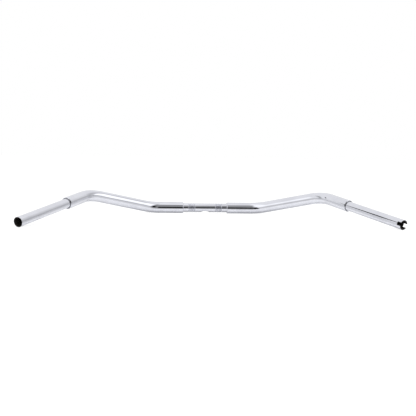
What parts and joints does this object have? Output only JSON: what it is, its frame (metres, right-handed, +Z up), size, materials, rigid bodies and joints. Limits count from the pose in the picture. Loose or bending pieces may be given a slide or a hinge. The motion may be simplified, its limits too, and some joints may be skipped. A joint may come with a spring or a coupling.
{
  "type": "motorcycle handlebar",
  "caption": "Low, wide pull-back handlebar in chromed tube, with a knurled clamp section, slim grip ends and slots for internal wiring.",
  "frame": {"origin": "middle of the clamp section, on its axis", "axes": "+X to the rider's right along the clamp section, +Y forward, +Z up; the grips point back along -Y and the bar lies level"},
  "size_m": [0.9502, 0.3788, 0.0705],
  "materials": {
    "chrome": "mirror-polished chrome plate on steel tube",
    "weld_chrome": "chrome plate over a dressed weld bead"
  },
  "bodies": {
    "root": {"clamp_tube": "chrome", "left_arm": "chrome", "right_arm": "chrome", "left_grip_tube": "chrome", "right_grip_tube": "chrome", "left_clamp_weld": "weld_chrome", "right_clamp_weld": "weld_chrome", "left_grip_weld": "weld_chrome", "right_grip_weld": "weld_chrome"}
  },
  "joints": []
}
